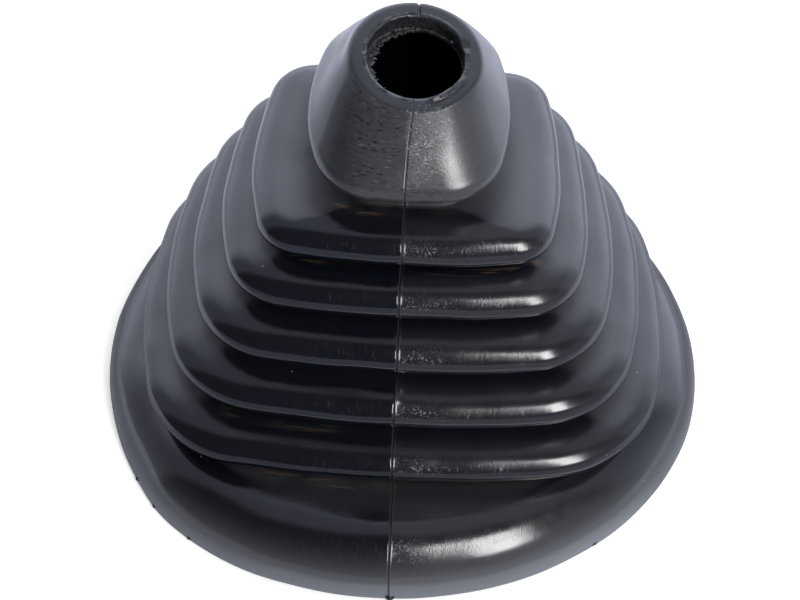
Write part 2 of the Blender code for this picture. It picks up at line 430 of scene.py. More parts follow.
def with_seam(x, y):
    """A ring with its front and back points replaced by closely set lines that carry the parting line.

    The columns beside them are spread, so that none lies within the lines on a small ring.
    """
    half = len(x) // 2
    lines = np.array(SEAM_LINES) * MM
    edge = lines[-1]
    ring_x, ring_y = [], []
    for start, way in ((0, 1), (half, -1)):
        patch = np.arange(start - SEAM_PATCH, start + SEAM_PATCH + 1) % len(x)
        along = x[patch] * way
        limit = along[-1]
        spread = np.sign(along) * (edge + (limit - edge) * np.abs(along) / limit)
        spread = np.concatenate([spread[:SEAM_PATCH], lines, spread[SEAM_PATCH + 1 :]])
        plain = np.arange(start + SEAM_PATCH + 1, start + half - SEAM_PATCH) % len(x)
        ring_x += [spread * way, x[plain]]
        ring_y += [np.interp(spread, along, y[patch]), y[plain]]
    return np.concatenate(ring_x), np.concatenate(ring_y)


def section(base, folds, neck):
    """The rounds of the section from the base up to the neck's skirt, crests and grooves in turn."""
    base_plan = Plan(
        base.width / 2, base.depth / 2, base.corner_radius, base.side_turn, base.front_turn
    )
    skirt_plan = Plan(
        neck.skirt_width / 2,
        neck.skirt_depth / 2,
        neck.skirt_corner_radius,
        neck.skirt_side_turn,
        neck.skirt_front_turn,
    )

    def fold_plan(index):
        return Plan(
            (folds.top_width + index * folds.width_step) / 2,
            (folds.top_depth + index * folds.depth_step) / 2,
            folds.top_corner_radius + index * folds.corner_step,
            folds.side_turn,
            folds.front_turn,
        )

    def crest(plan, height, inner_radius, level):
        radius = inner_radius + folds.wall
        return Round(inset(plan, radius), height, radius, level)

    def groove(plan, depth, height, level):
        centre = inset(plan, depth - folds.root_radius, folds.root_radius + folds.wall)
        return Round(centre, height, -folds.root_radius, level)

    rounds = [Round(inset(base_plan, base.bulge_radius), base.bulge_lift, base.bulge_radius, folds.count)]
    height = base.bulge_lift + base.bulge_radius + folds.root_radius + folds.base_tread_rise
    for index in reversed(range(folds.count)):
        lowest = index == folds.count - 1
        riser = folds.base_riser if lowest else folds.top_riser + index * folds.riser_step
        rounds.append(groove(fold_plan(index), folds.groove_depth, height, index + 1))
        height += folds.root_radius + folds.crest_radius + folds.wall + riser
        rounds.append(crest(fold_plan(index), height, folds.crest_radius, index))
        height += folds.tread_rise
    rounds.append(groove(skirt_plan, neck.groove_depth, height, 0))
    height += folds.root_radius + neck.skirt_radius + folds.wall + neck.riser
    rounds.append(crest(skirt_plan, height, neck.skirt_radius, -1))
    return base_plan, rounds


def shared_normal(lower, upper):
    """How far the normal of the straight skin that joins two rounds is raised from the horizontal."""
    across = sum(upper.centre[:2]) / 2 - sum(lower.centre[:2]) / 2
    up = upper.height - lower.height
    turn = math.acos((lower.radius - upper.radius) / math.hypot(across, up))
    return math.atan2(up, across) - turn


def ring(plan, height, reach=0.0):
    """The points of a plan at one height, moved out along their normals by reach."""
    x, y = plan_points(plan, NORMALS)
    x, y = with_seam(x + reach * np.cos(NORMALS), y + reach * np.sin(NORMALS))
    return np.stack([x, y, np.full_like(x, height)], axis=1)


def arc_rows(part, first, last, steps, wall=0.0):
    """The rows along a round, from one normal to another. wall is how far inside the outer skin they lie."""
    radius = part.radius - wall
    groove = part.radius < 0
    rows = []
    for normal in np.linspace(first, last, steps + 1):
        points = ring(part.centre, part.height + radius * math.sin(normal), radius * math.cos(normal))
        rows.append(Row(points, part.level, 0.0 if groove else 1.0, wall == 0.0))
    return rows


def straight_rows(before, after, steps):
    """Rows that fill the straight stretch between two rows."""
    rows = []
    for part in np.arange(1, steps) / steps:
        points = before.points * (1 - part) + after.points * part
        rows.append(
            Row(
                points,
                max(before.level, after.level) if after.tread < before.tread else after.level,
                before.tread * (1 - part) + after.tread * part,
                before.outside,
            )
        )
    return rows


def shoulder(part, folds):
    """The wider round that carries on above a crest and touches it at the shoulder's turn."""
    extra, turn = folds.shoulder_radius, folds.shoulder_turn
    return part._replace(
        centre=inset(part.centre, extra * math.cos(turn)),
        height=part.height - extra * math.sin(turn),
        radius=part.radius + extra,
    )


def crest_rows(part, first, last, steps, folds, wall=0.0):
    """The rows over a crest and its shoulder."""
    lower = arc_rows(part, first, folds.shoulder_turn, steps, wall)
    return lower + arc_rows(shoulder(part, folds), folds.shoulder_turn, last, (steps + 1) // 2, wall)[1:]


def round_kind(part, rounds):
    if part is rounds[0]:
        return "bulge"
    if part.radius < 0:
        return "root"
    return "skirt" if part is rounds[-1] else "crest"


def web_reach(points, wear):
    """How far the torn web stands in from the hole's wall at each point, ragged along its edge."""
    turns = np.arctan2(points[:, 1], points[:, 0])
    away = np.abs(np.angle(np.exp(1j * (turns - wear.web_middle))))
    shape = np.where(away < wear.web_spread, np.cos(np.minimum(away / wear.web_spread, 1) * math.pi / 2), 0)
    rag = 0.72 + 0.5 * ragged_line(turns, 2.0, 5.0, 0.45)
    # a trace of the web is left all round
    trace = 0.05 * MM
    return wear.web_reach * np.clip(shape**0.6 * rag, 0.02, 1.5) + trace


def neck_end_rows(collar, top, neck, wear, before):
    """The rows over the collar's face, down the hole and round the torn web at its end."""
    hole = inset(collar, (neck.collar_width - neck.hole_width) / 2)
    brim = Row(ring(hole, top, BRIM_ROUND), -1, 1.0, True)
    bore = Row(ring(hole, top - BRIM_ROUND), -2, 1.0, True)
    ledge = Row(ring(hole, top - neck.hole_length + wear.web_lift), -2, 1.0, True)
    rows = straight_rows(before, brim, NECK_STEPS["face"]) + [brim, bore]
    rows += straight_rows(bore, ledge, NECK_STEPS["bore"]) + [ledge]
    reach = web_reach(ledge.points, wear)
    crinkle = np.array([noise.noise(Vector((x, y, 0.0)) * WEB_CRINKLE) for x, y, _ in ledge.points])
    for part, lift in WEB_SECTION:
        points = ledge.points.copy()
        flat = points[:, :2] / np.linalg.norm(points[:, :2], axis=1)[:, None]
        points[:, :2] -= flat * (reach * part)[:, None]
        points[:, 2] += (lift + crinkle * part) * MM
        rows.append(Row(points, -2, 0.0, True))
    return rows


def boot_rows(base, folds, neck, wear):
    """All the rows in order, from the lower edge up the outside, down the hole and back down the inside."""
    base_plan, rounds = section(base, folds, neck)
    top = rounds[-1].height + neck.height
    half_collar = neck.collar_width / 2
    collar = Plan(half_collar, half_collar, half_collar, neck.skirt_side_turn, neck.skirt_front_turn)
    edge = Round(inset(collar, neck.collar_edge), top - neck.collar_edge, neck.collar_edge, -1)
    tops = [shoulder(part, folds) if round_kind(part, rounds) == "crest" else part for part in rounds]
    normals = [shared_normal(lower, upper) for lower, upper in zip(tops, rounds[1:] + [edge])]

    def round_rows(part, first, last, steps, wall=0.0):
        kind = round_kind(part, rounds)
        if kind == "crest":
            return crest_rows(part, first, last, steps[kind], folds, wall)
        return arc_rows(part, first, last, steps[kind], wall)

    lower_edge = Round(inset(base_plan, base.edge_radius), base.edge_radius, base.edge_radius, folds.count)
    rows = arc_rows(lower_edge, -math.pi / 2, 0.0, 3)
    for part, first, last in zip(rounds, [0.0] + normals, normals):
        arc = round_rows(part, first, last, ARC_STEPS)
        distance = np.linalg.norm(arc[0].points[0] - rows[-1].points[0])
        rows += straight_rows(rows[-1], arc[0], max(1, round(distance / TREAD_STEP))) + arc
    arc = arc_rows(edge, normals[-1], math.pi / 2, ARC_STEPS["edge"])
    rows += straight_rows(rows[-1], arc[0], NECK_STEPS["cone"]) + arc
    rows += neck_end_rows(collar, top, neck, wear, rows[-1])

    inner = []
    seat_normal = math.asin((base.seat_thickness - base.bulge_lift) / (base.bulge_radius - folds.wall))
    for part, first, last in zip(rounds, [seat_normal] + normals, normals):
        inner += round_rows(part, first, last, INNER_STEPS, folds.wall)
    below, above = inner[-1].points, arc_rows(edge, normals[-1], normals[-1], 1, folds.wall)[0].points
    part = (top - neck.hole_length - below[0, 2]) / (above[0, 2] - below[0, 2])
    cone_end = Row(below * (1 - part) + above * part, -1, 1.0, False)
    inner += straight_rows(inner[-1], cone_end, NECK_STEPS["inside"]) + [cone_end]
    rows += inner[::-1]
    seat_edge = inset(base_plan, base.seat_width)
    for height in (base.seat_thickness, 0.0):
        rows.append(Row(ring(seat_edge, height), folds.count, 1.0, False))
    return rows


def lopsided(turn):
    """How far the worn base stands out in each direction, in mm, blended from the places in BASE_WEAR."""
    weights = [bell(degrees_apart(turn, place), 0.0, BASE_WEAR_SPREAD) for place, _ in BASE_WEAR]
    return sum(weight * out for weight, (_, out) in zip(weights, BASE_WEAR)) / sum(weights)


def settle(points, base, neck, wear):
    """Bends points from the true form to the worn one.

    The neck leans and has a dent, the base is lopsided, the folds' corners stand out, and the skin wavers.
    """
    points = points.copy()
    x, y, z = points[..., 0], points[..., 1], points[..., 2]
    foot = BOOT_HIGH.z - neck.height - BEND_START
    bend = np.clip((z - foot) / (BOOT_HIGH.z - foot), 0.0, 1.0) ** 2
    below = z - BOOT_HIGH.z
    points[..., 0] += neck.lean * bend + below * np.sin(neck.tilt * bend)
    points[..., 1] += y * (np.cos(neck.pitch * bend) - 1) - below * np.sin(neck.pitch * bend)
    points[..., 1] -= neck.slump * bend
    points[..., 2] += y * np.sin(neck.pitch * bend) - x * np.sin(neck.tilt * bend)

    reach, turn = np.hypot(x, y), np.arctan2(y, x)
    out_mm, up_mm = reach / MM, z / MM
    skew = base.skew * lopsided(np.degrees(turn)) * smooth_step(52, 68, out_mm) * smooth_step(30, 12, up_mm)
    # the folds' front corners stand out, and higher up their backs have sunk in
    corner = np.maximum(0, -np.sin(2 * turn)) * (y < 0)
    sunk = smooth_step(-12, 12, y / MM) * smooth_step(36, 52, up_mm) * np.where(x < 0, 1.0, 0.7)
    stands_out = 0.7 * corner + 0.25 - 0.75 * sunk
    skew += stands_out * smooth_step(23, 32, out_mm) * smooth_step(14, 20, up_mm)
    apart = degrees_apart(np.degrees(turn), math.degrees(wear.dent_middle))
    dent = bell(apart, 0.0, 32) * smooth_step(12, 16, out_mm) * window(up_mm, 88, 100, 105, 112)
    skew = skew * MM - wear.dent * dent
    points[..., 0] += skew * x / np.maximum(reach, MM)
    points[..., 1] += skew * y / np.maximum(reach, MM)

    flat = points.reshape(-1, 3)
    loose = smooth_step(0.5, 9, flat[:, 2] / MM)
    loose *= 0.25 + 0.75 * smooth_step(8, 30, np.hypot(flat[:, 0], flat[:, 1]) / MM)
    # broad waves 34 mm across and finer ones 11 mm across, seeded so that each run gives the same skin
    noise.seed_set(SKIN_SEED)
    for size, amount in ((34 * MM, wear.wobble * 1.6), (11 * MM, wear.wobble * 0.65)):
        waves = np.array([noise.noise_vector(Vector(p) / size) for p in flat.tolist()])
        flat += waves * (amount * loose)[:, None]
    return flat.reshape(points.shape)


def row_normals(grid):
    """Outward normals of the skin at every point of the grid."""
    along = np.roll(grid, -1, axis=1) - np.roll(grid, 1, axis=1)
    up = np.roll(grid, -1, axis=0) - np.roll(grid, 1, axis=0)
    normals = np.cross(along, up)
    return normals / np.maximum(np.linalg.norm(normals, axis=2, keepdims=True), 1e-12)


def grid_of(rows):
    return np.stack([row.points for row in rows])


def mark_collar(grid, rows, wear):
    """Adds the collar's own faults: a slot across its back, a lip on the hole's edge and a bite out of it."""
    grid = grid.copy()
    lowest_row = BOOT_HIGH.z - 4 * MM
    for index, row in enumerate(rows):
        if not row.outside or row.level > -1 or grid[index, 0, 2] < lowest_row:
            continue
        x, y = row.points[:, 0] / MM, row.points[:, 1] / MM
        turns = np.degrees(np.arctan2(y, x))
        reach = np.hypot(x, y)
        if reach.max() < 11.3:
            height = grid[index, 0, 2] / MM
            ripple = wear.ripple * ragged_line(np.radians(turns), height * 0.7, height * 1.3, 0.6)
            grid[index] += np.stack([ripple * x / reach, ripple * y / reach, ripple], axis=1)
        slot = (y > 0) * bell(x, 0.4, 0.32) * smooth_step(10.6, 11.4, reach)
        inner = smooth_step(12.4, 11.0, reach)
        lip = window(turns, -78, -66, -32, -20) * inner
        bite = bell(turns, 19, 5.5) * inner
        grid[index, :, 2] += wear.lip * lip - wear.slot * slot - wear.bite * bite
    return grid


def seam_columns():
    """The columns of the parting line, each with its place across the line in mm."""
    stride = len(NORMALS) // 2 + len(SEAM_LINES) - 1
    return [(SEAM_PATCH + k * stride + i, place) for k in (0, 1) for i, place in enumerate(SEAM_LINES)]


def seam_height(column, place, height, level, ridge):
    """How far one point of the parting line stands out, with the lumps where the mould bled."""
    at_front = column < len(NORMALS) // 2
    rough = noise.noise(Vector((height / MM * 0.9, 3.0 if at_front else 9.0, place)))
    form = sum(part * bell(place, middle, half) for middle, half, part in SEAM_FORM)
    out = ridge * form * (1 + 0.8 * rough)
    if level == -1:
        # the neck's line is a fine crease, worn smooth
        out = min(out, 0.0) * 0.5
    if at_front and place > -0.3:
        for low, high, lump in SEAM_LUMPS:
            middle, half = (low + high) / 2 * MM, (high - low) / 2 * MM
            out += lump * MM * max(0.0, 1 - ((height - middle) / half) ** 2) * (1 - abs(place - 0.1))
    return out


def raise_seam(grid, rows, normals, wear):
    """Shifts the parting line to its place and raises its ridge."""
    grid = grid.copy()
    x = grid[..., 0]
    outside = np.array([[row.outside] for row in rows])
    # the line swings back to the middle on the neck, and lies nearer to it at the back
    shift = -wear.seam_offset * smooth_step(82, 62, grid[:, :1, 2] / MM) * np.where(grid[..., 1] < 0, 1, 0.4)
    x += outside * shift * smooth_step(3.4, 0.6, np.abs(x) / MM)
    for column, place in seam_columns():
        for index, row in enumerate(rows):
            if row.outside and row.level != -2:
                height = seam_height(column, place, grid[index, column, 2], row.level, wear.seam_ridge)
                grid[index, column] += normals[index, column] * height
    grid[..., 2] = np.maximum(grid[..., 2], 0.0)
    return grid


def stain_masks(x, y, level, tread, outside):
    """Where the stains and the mud in the grooves lie."""
    masks = {"stain": np.zeros_like(x), "mud": np.zeros_like(x)}
    for at_level, at_tread, half_tread, low, high, amount, is_mud in STAINS:
        here = outside * (np.abs(level - at_level) < 0.5) * (y < 4)
        value = here * bell(tread, at_tread, half_tread) * window(x, low - 5, low, high, high + 5) * amount
        kind = "mud" if is_mud else "stain"
        masks[kind] = np.maximum(masks[kind], value)
    return masks


def rubber_masks(grid, rows, normals):
    """Where the rubber is greyed, scuffed or dirty, and where shade, glints and the floor's reflection are
    painted: named values from 0 up at each point, placed in mm.
    """
    x, y, z = grid[..., 0] / MM, grid[..., 1] / MM, grid[..., 2] / MM
    level = np.array([[row.level] for row in rows]) + 0 * x
    tread = np.array([[row.tread] for row in rows]) + 0 * x
    outside = np.array([[float(row.outside)] for row in rows]) + 0 * x
    on_base = level == rows[0].level
    on_fold = outside * (level >= 0)
    on_neck = outside * (level == -1) * smooth_step(84, 88, z)
    front = smooth_step(6, -2, y)
    face = smooth_step(0.80, 0.95, normals[..., 2]) * smooth_step(100, 104, z)
    cone = on_neck * front * (1 - face)
    # the cone's upper right carries a painted glint as well as scuffs
    upper_right = window(x, -0.4, 0.6, 6, 11) * window(z, 94, 101, 106, 110)

    # the rubber has greyed right of the parting line, but not near the grooves, which stay dark as painted
    # shade
    clear_of_groove_shade = smooth_step(0.3, 0.75, tread) * (1 - on_neck)
    haze = outside * window(x, -0.7, -0.1, 40, 70) * (0.4 + 0.6 * front) * clear_of_groove_shade
    # painted shade darkens the sides' slopes near the grooves and the groove under the skirt
    side_shade = smooth_step(0.98, 0.25, tread) * smooth_step(-0.22, -0.10, normals[..., 1])
    skirt_groove_shade = (level == 0) * smooth_step(0.10, 0.03, tread) * 0.7
    crease = np.zeros_like(x)
    for column, place in seam_columns():
        crease[:, column] = 1.0 if place in SEAM_GAP else 0.4 * (0 < place < 0.3)

    # scuffs and bloom lie along a band high on each crest, and lower on the base's bulge
    # that band is set by the skin's slope near the lamp's highlights: its pale flecks are partly painted
    # glints
    band = bell(normals[..., 2], np.where(on_base, 0.80, 0.64), np.where(on_base, 0.09, 0.20))
    band *= smooth_step(0.75, 0.98, tread) * on_fold * front
    scuff_left = 0.35 * smooth_step(-30, -12, x) * (x < 0)
    neck_right = (x > -0.5) * smooth_step(13, 4, x) * smooth_step(88, 100, z) * (1 - 0.6 * face)
    return {
        "haze": haze,
        "handled": on_neck * (0.55 + 0.45 * smooth_step(-15, -8, x)) * (1 - 0.8 * face),
        "crease": outside * crease,
        # painted shade on the slopes and in the skirt's groove
        "painted_shade": on_fold * np.maximum(side_shade, skirt_groove_shade),
        "torn": outside * (level == -2),
        # a pale band on the base's lower edge: a painted reflection of the white floor
        "painted_floor_sheen": outside * on_base * smooth_step(13, 1, z) * smooth_step(40, -30, y),
        "bloom_and_glints": band * window(x, -0.6, 0.0, 5, 15) + 0.6 * cone * upper_right,
        "scuff_and_glints": band * (window(x, 6, 14, 27, 36) + scuff_left),
        "neck_marks": cone * smooth_step(14, 8, np.abs(x + 2)),
        "neck_scuff_and_glint": on_neck * front * neck_right + 0.9 * cone * upper_right,
        **stain_masks(x, y, level, tread, outside),
    }


def mesh_from_grid(name, grid):
    """A closed skin through a grid whose rows and columns both end where they began."""
    count_rows, count = grid.shape[:2]
    index = np.arange(count_rows * count).reshape(count_rows, count)
    beside, above = np.roll(index, -1, axis=1), np.roll(index, -1, axis=0)
    faces = np.stack([index, beside, np.roll(beside, -1, axis=0), above], axis=2).reshape(-1, 4)
    mesh = bpy.data.meshes.new(name)
    mesh.from_pydata(grid.reshape(-1, 3).tolist(), [], faces.tolist())
    mesh.shade_smooth()
    return mesh


def add_masks(mesh, masks):
    for name, values in masks.items():
        layer = mesh.attributes.new(name, "FLOAT", "POINT")
        layer.data.foreach_set("value", values.astype(np.float32).ravel())


def finish_piece(name, mesh, material, collection):
    """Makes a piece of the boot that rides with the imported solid."""
    piece = bpy.data.objects.new(name, mesh)
    mesh.materials.append(material)
    collection.objects.link(piece)
    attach(piece, "root")
    return piece


def boot_collection():
    name = "gear_shift_boot"
    if name not in bpy.data.collections:
        bpy.context.scene.collection.children.link(bpy.data.collections.new(name))
    return bpy.data.collections[name]


def add_node(tree, kind, inputs=None, **settings):
    """Adds a node, sets its properties, and sets or links its inputs.

    Inputs are named or numbered in a dictionary, or listed in order. A node among them stands for its first
    output in use.
    """
    node = tree.nodes.new(kind)
    for key, value in settings.items():
        setattr(node, key, value)
    inputs = inputs or {}
    for key, value in inputs.items() if isinstance(inputs, dict) else enumerate(inputs):
        if isinstance(value, bpy.types.Node):
            value = next(socket for socket in value.outputs if socket.enabled)
        if isinstance(value, bpy.types.NodeSocket):
            tree.links.new(value, node.inputs[key])
        else:
            node.inputs[key].default_value = value
    return node


def faded(tree, amount, *spans):
    """An amount faded by smooth rises: each a value, where it starts and ends, and its share at both."""
    for value, start, end, at_start, at_end in spans:
        inputs = {"Value": value, "From Min": start, "From Max": end, "To Min": at_start, "To Max": at_end}
        rise = add_node(tree, "ShaderNodeMapRange", inputs, interpolation_type="SMOOTHSTEP")
        amount = add_node(tree, "ShaderNodeMath", (amount, rise), operation="MULTIPLY")
    return amount


def layered(tree, tone, *layers):
    """A tone with other colours laid over it: each an amount, a share of it, and the colour."""
    for amount, part, over in layers:
        amount = add_node(tree, "ShaderNodeMath", (amount, part), operation="MULTIPLY")
        tone = add_node(tree, "ShaderNodeMix", {0: amount, 6: tone, 7: (*over, 1)}, data_type="RGBA")
    return tone


def summed(tree, start, *parts):
    """The sum of a start and some parts, each a value and how much of it counts, kept from 0 to 1."""
    for value, part in parts:
        start = add_node(
            tree, "ShaderNodeMath", (value, part, start), operation="MULTIPLY_ADD", use_clamp=True
        )
    return start


def new_material(name):
    material = bpy.data.materials.new(name)
    material.use_nodes = True
    material.node_tree.nodes.clear()
    return material, material.node_tree


def finish_rubber(tree, tone, roughness, ior, height, bump_strength, bump_depth):
    """Ends a rubber's nodes: its tone, its shine, and a bump that lifts the surface by bump_depth."""
    inputs = {"Height": height, "Strength": bump_strength, "Distance": bump_depth}
    bump = add_node(tree, "ShaderNodeBump", inputs)
    inputs = {"Base Color": tone, "Roughness": roughness, "IOR": ior, "Normal": bump}
    shader = add_node(tree, "ShaderNodeBsdfPrincipled", inputs)
    add_node(tree, "ShaderNodeOutputMaterial", {"Surface": shader})


def rubber_patterns(tree):
    """The patterns of the worn rubber by name, laid out in the boot's own space in mm."""
    place = add_node(tree, "ShaderNodeTexCoord").outputs["Object"]
    in_mm = add_node(tree, "ShaderNodeVectorMath", {0: place, "Scale": 1 / MM}, operation="SCALE")
    patterns = {}
    for name, (stretch, grain_mm, detail, roughness) in PATTERNS.items():
        vector = add_node(tree, "ShaderNodeMapping", {"Vector": in_mm, "Scale": stretch})
        inputs = {"Vector": vector, "Scale": 1 / grain_mm, "Detail": detail, "Roughness": roughness}
        patterns[name] = add_node(tree, "ShaderNodeTexNoise", inputs)
    # single specks of dust stand on about half of their places
    speck_spacing_mm = 7.5
    inputs = {"Vector": in_mm, "Scale": 1 / speck_spacing_mm, "Randomness": 1.0}
    specks = add_node(tree, "ShaderNodeTexVoronoi", inputs, feature="F1")
    away = specks.outputs["Distance"]
    chance = add_node(tree, "ShaderNodeSeparateColor", {0: specks.outputs["Color"]})
    patterns["dust"] = faded(tree, 1.0, (away, 0.030, 0.018, 0, 1), (chance, 0.5, 0.52, 0, 1))
    return patterns


def worn_rubber(name, finish, mask_names):
    """Moulded black rubber, a few years old.

    The mould leaves a skin with a dull shine, the right half has greyed, and wax has bloomed beside the
    parting line.
    Shade is painted in the grooves, glints among the bloom and scuffs, and the floor's reflection on the
    base's lower edge. To the eye it is black with soft lights and faint grey bands.
    """
    material, tree = new_material(name)
    patterns = rubber_patterns(tree)
    mottle, patches, flecks = patterns["mottle"], patterns["patches"], patterns["flecks"]
    grain, levels, streaks = patterns["grain"], patterns["levels"], patterns["streaks"]
    dashes, rubbing, dust = patterns["dashes"], patterns["rubbing"], patterns["dust"]
    masks = {}
    for key in mask_names:
        masks[key] = add_node(tree, "ShaderNodeAttribute", attribute_name=key).outputs["Fac"]
    neck_wear = summed(tree, masks["neck_marks"], (masks["neck_scuff_and_glint"], 1.0))
    # painted shade in the grooves and on the slopes, joined with the parting line's crease
    painted_shade = add_node(tree, "ShaderNodeMath", (masks["crease"], masks["painted_shade"]), operation="MAXIMUM")

    # each kind of wear, and each painted glint, shows where its mask and its patterns meet
    haze = faded(tree, masks["haze"], (mottle, 0.25, 0.7, 0.7, 1.0))
    handled = faded(tree, masks["handled"], (levels, 0.3, 0.7, 0.75, 1.0))
    # bloom and scuffs, partly painted glints on the crests
    bloom_and_glints = faded(tree, masks["bloom_and_glints"], (patches, 0.38, 0.60, 0, 1), (flecks, 0.50, 0.66, 0, 1))
    scuff_and_glints = faded(tree, masks["scuff_and_glints"], (patches, 0.42, 0.62, 0, 1), (streaks, 0.54, 0.70, 0, 1))
    stain = faded(tree, masks["stain"], (mottle, 0.35, 0.6, 0, 1))
    mud = faded(tree, masks["mud"], (patterns["tide"], 0.50, 0.60, 0, 1))
    torn = faded(tree, masks["torn"], (flecks, 0.50, 0.68, 0.1, 0.8))
    pale_dash = faded(tree, masks["neck_marks"], (dashes, 0.62, 0.72, 0, 0.35))
    dark_dash = faded(tree, neck_wear, (dashes, 0.44, 0.34, 0, 0.9))
    # pale rubbing, and the painted glint on the cone's upper right
    rubbed = faded(tree, masks["neck_scuff_and_glint"], (patches, 0.44, 0.60, 0, 1), (rubbing, 0.54, 0.64, 0, 0.75))
    pale = summed(tree, pale_dash, (rubbed, 1.0))

    tone = layered(
        tree,
        (*finish.rubber, 1),
        (haze, 1.0, finish.haze),
        # painted reflection of the floor on the base's lower edge
        (masks["painted_floor_sheen"], 0.42, finish.bloom_and_glints),
        (handled, 1.0, finish.handled),
        (torn, 1.0, finish.handled),
        # painted shade: plain black rubber laid over the grey
        (painted_shade, 1.0, finish.rubber),
        (dark_dash, 1.0, finish.rubber),
        (pale, 1.0, finish.bloom_and_glints),
        (stain, 0.5, finish.olive_dirt),
        (mud, 0.55, finish.tan_dirt),
        # pale bloom and scuffs, partly painted glints
        (bloom_and_glints, 0.65, finish.bloom_and_glints),
        (scuff_and_glints, 0.40, finish.bloom_and_glints),
        (dust, 0.7, finish.bloom_and_glints),
    )
    gloss = finish.gloss_roughness
    roughness = summed(
        tree,
        faded(tree, 1.0, (mottle, 0.3, 0.7, gloss - 0.02, gloss + 0.03)),
        (haze, finish.haze_roughness - gloss),
        (masks["handled"], 0.14),
        (masks["torn"], 0.45),
        (masks["crease"], 0.45),
        (masks["painted_shade"], 0.45),
        (bloom_and_glints, 0.2),
        (scuff_and_glints, 0.2),
        (stain, 0.15),
        (mud, 0.15),
    )
    height = 0.0
    # pattern, where it shows, and how much of the bump's depth it takes
    for pattern, where, part in (
        (grain, 1.0, 0.006),
        (levels, 1.0, 0.004),
        (mottle, 1.0, 0.09),
        (flecks, masks["torn"], 0.12),
        (dashes, masks["neck_marks"], 0.05),
        (rubbing, masks["neck_scuff_and_glint"], 0.14),
        (grain, masks["handled"], 0.02),
        (streaks, masks["scuff_and_glints"], 0.06),
        (streaks, masks["bloom_and_glints"], 0.06),
    ):
        shown = add_node(tree, "ShaderNodeMath", (pattern, where), operation="MULTIPLY")
        height = add_node(tree, "ShaderNodeMath", (shown, part, height), operation="MULTIPLY_ADD")
    finish_rubber(tree, tone, roughness, 1.65, height, 0.6, 1.0 * MM)
    return material


def grained_rubber(name, grain_mm, detail, under, over, span, roughness, ior, bump_strength, bump_depth):
    """Rubber of one grain, whose tone goes from one colour to another as the grain rises through a span."""
    material, tree = new_material(name)
    place = add_node(tree, "ShaderNodeTexCoord").outputs["Object"]
    inputs = {"Vector": place, "Scale": 1 / (grain_mm * MM), "Detail": detail}
    grain = add_node(tree, "ShaderNodeTexNoise", inputs)
    inputs = {"Value": grain, "From Min": span[0], "From Max": span[1], "To Max": span[2]}
    amount = add_node(tree, "ShaderNodeMapRange", inputs)
    tone = layered(tree, (*under, 1), (amount, 1.0, over))
    finish_rubber(tree, tone, roughness, ior, grain, bump_strength, bump_depth)
    return material


def inner_rubber(finish):
    """The same rubber inside, painted black and given almost no shine, as painted shade. To the eye it is a
    black hollow.
    """
    black = (0.0, 0.0, 0.0)
    return grained_rubber(
        "moulded_rubber_inside", 0.8, 3.0, black, finish.rubber, (0, 1, 1), 0.9, 1.08, 0.5, 0.1 * MM
    )


def torn_rubber(finish):
    """Rubber torn when the lever was first pushed through. To the eye it is rough, with pale torn edges."""
    return grained_rubber(
        "torn_rubber", 0.6, 4.0, finish.haze, finish.bloom_and_glints, (0.45, 0.7, 0.5), 0.45, 1.52, 0.8, 0.2 * MM
    )


def trimmed_flash(finish):
    """Thin rubber that squeezed out of the mould and was trimmed. To the eye it is matt and a little grey."""
    return grained_rubber(
        "trimmed_rubber_flash", 0.5, 3.0, finish.rubber, finish.haze, (0, 1, 1), 0.5, 1.52, 0.6, 0.1 * MM
    )


def mirrored_tint(tree, is_mirrored, window_colour):
    """White light, but cool where the rubber mirrors it."""
    inputs = {0: is_mirrored, 6: (1, 1, 1, 1), 7: (*window_colour, 1)}
    return add_node(tree, "ShaderNodeMix", inputs, data_type="RGBA")


def white_floor(stage):
    """Matt white board. To the eye it is plain white with the boot's soft shadow.

    It adds a little light of its own: to the camera, outside the boot, and to what the rubber mirrors.
    """
    material, tree = new_material("matt_white_board")
    place = add_node(tree, "ShaderNodeTexCoord").outputs["Object"]
    grain = add_node(tree, "ShaderNodeTexNoise", {"Vector": place, "Scale": 1 / (1.5 * MM), "Detail": 2.0})
    bump = add_node(tree, "ShaderNodeBump", {"Height": grain, "Strength": 0.05, "Distance": 0.1 * MM})
    path = add_node(tree, "ShaderNodeLightPath")
    is_mirrored = path.outputs["Is Glossy Ray"]
    dimmed = [part * cool * stage.mirrored_floor for part, cool in zip(stage.floor, stage.window)]
    tone = layered(tree, (*stage.floor, 1), (is_mirrored, 1.0, dimmed))
    board = add_node(tree, "ShaderNodeBsdfDiffuse", {"Color": tone, "Normal": bump})

    away = add_node(tree, "ShaderNodeVectorMath", {0: place}, operation="LENGTH")
    spot = add_node(tree, "ShaderNodeSeparateXYZ", {0: place})
    x, y = spot.outputs["X"], spot.outputs["Y"]
    seen = faded(tree, stage.floor_glow, (away, 0.055, 0.066, 0, 1))
    beside_boot = faded(
        tree, stage.front_glow, (away, 0.078, 0.090, 1, 0), (y, -0.03, -0.06, 0, 1), (x, -0.06, 0.0, 0.3, 1)
    )
    further_out = faded(tree, stage.side_glow, (away, 0.075, 0.15, 0, 1), (y, -0.10, -0.03, 0, 1))
    glow = 0.0
    for is_ray, amount in (
        (path.outputs["Is Camera Ray"], seen),
        (is_mirrored, beside_boot),
        (is_mirrored, further_out),
    ):
        glow = add_node(tree, "ShaderNodeMath", (is_ray, amount, glow), operation="MULTIPLY_ADD")
    tint = mirrored_tint(tree, is_mirrored, stage.window)
    light = add_node(tree, "ShaderNodeEmission", {"Color": tint, "Strength": glow})
    both = add_node(tree, "ShaderNodeAddShader", (board, light))
    add_node(tree, "ShaderNodeOutputMaterial", {"Surface": both})
    return material


